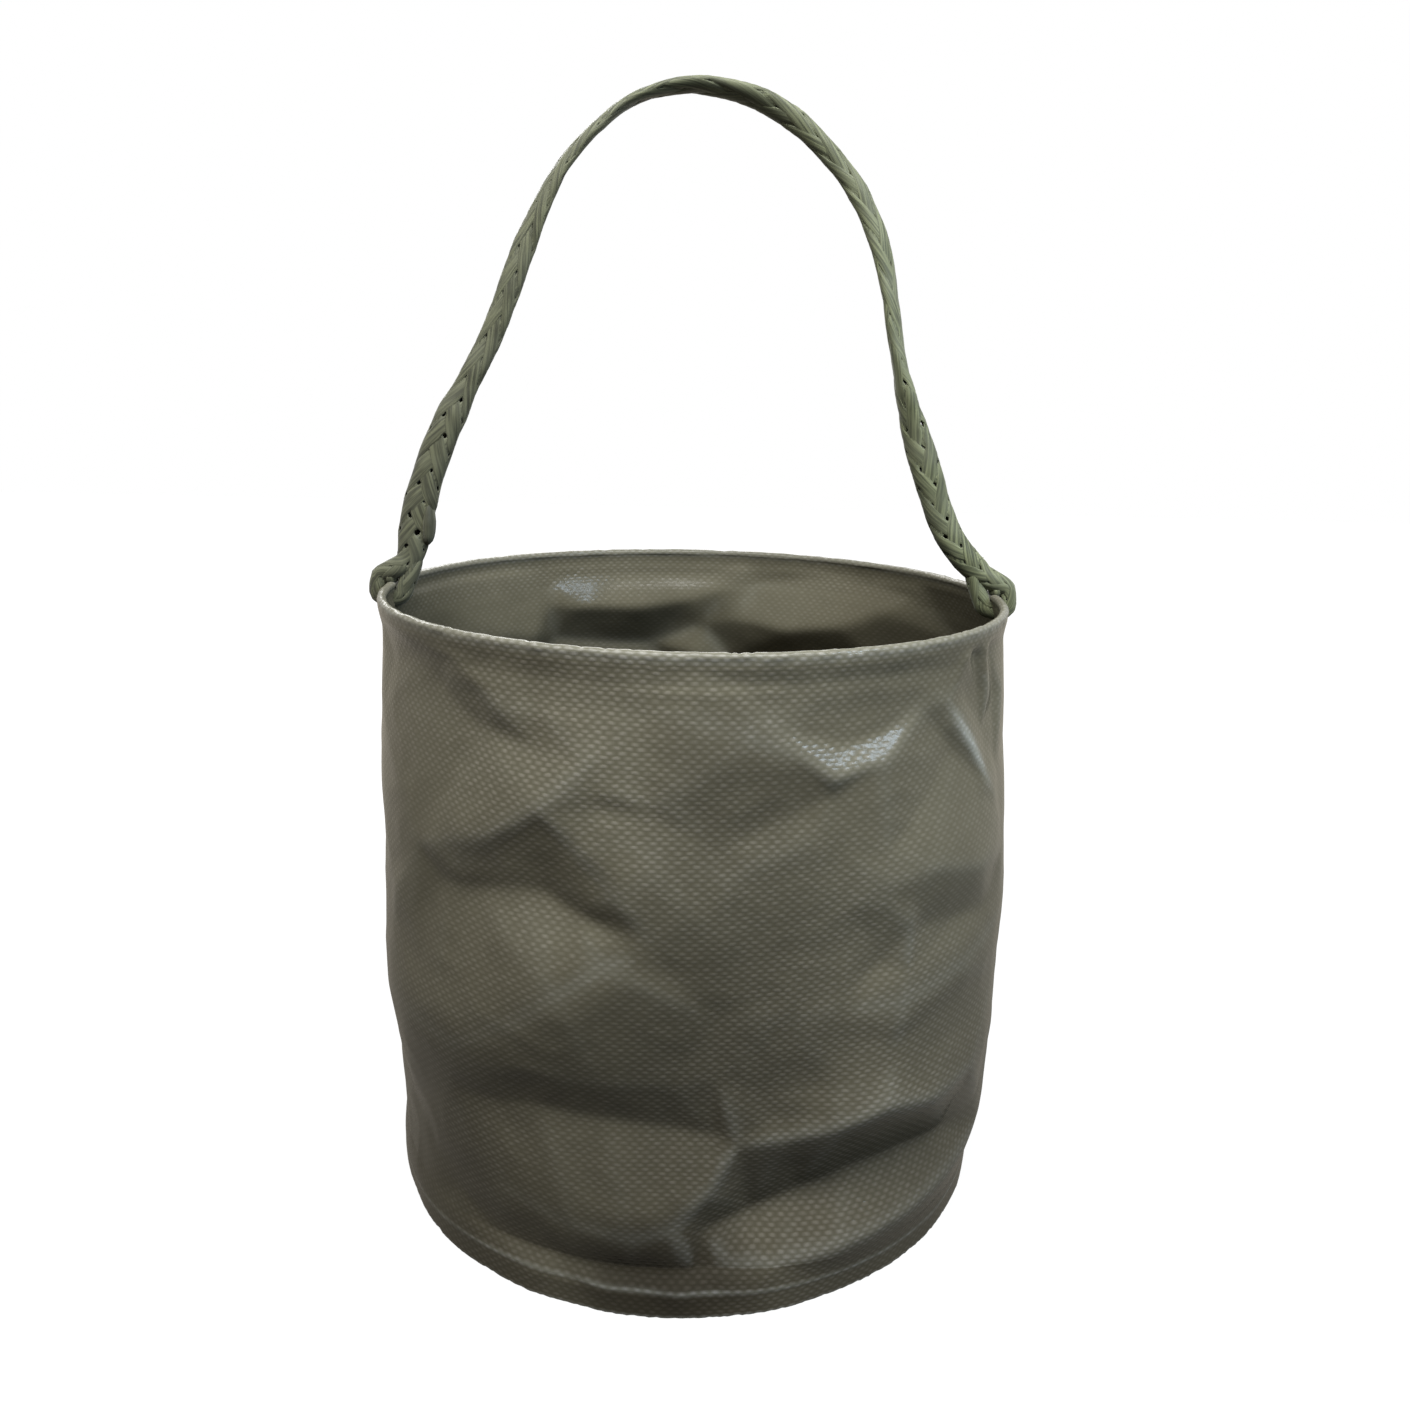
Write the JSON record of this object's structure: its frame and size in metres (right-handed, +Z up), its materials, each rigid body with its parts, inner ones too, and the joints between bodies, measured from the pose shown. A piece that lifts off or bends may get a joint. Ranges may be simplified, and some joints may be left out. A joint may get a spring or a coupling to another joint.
{
  "type": "folding water bucket",
  "caption": "Collapsible round water bucket of coated fabric with a wire hoop in its rim and a braided rope handle that stands or swings down.",
  "frame": {"origin": "on the floor under the middle of the bucket", "axes": "+Z up, +X to the right through the rope's right eye, -Y towards the front, with the wall's lap weld at the back at +Y"},
  "size_m": [0.2568, 0.2533, 0.418],
  "materials": {
    "coated_fabric": "glossy olive drab vinyl coating over a woven polyester cloth whose weave shows through as small bumps",
    "hoop_steel": "drawn and zinc plated spring wire",
    "braided_rope": "dull sage green hollow braid of flat polypropylene strands"
  },
  "bodies": {
    "base": {"wall_panel": "coated_fabric", "base_panel": "coated_fabric"},
    "rim": {"rim_hoop": "hoop_steel", "rim_band": "coated_fabric", "left_rope_eye": "braided_rope", "right_rope_eye": "braided_rope"},
    "handle": {"handle_rope": "braided_rope"}
  },
  "joints": [
    {"name": "rim_collapse", "type": "slide", "parent": "base", "child": "rim", "axis": [0, 0, -1], "range_m": [0, 0.19], "deforming": ["wall_panel"]},
    {"name": "handle_swing", "type": "hinge", "parent": "rim", "child": "handle", "pos_m": [0, 0, 0.2436], "axis": [1, 0, 0], "range_deg": [-92, 92]}
  ]
}
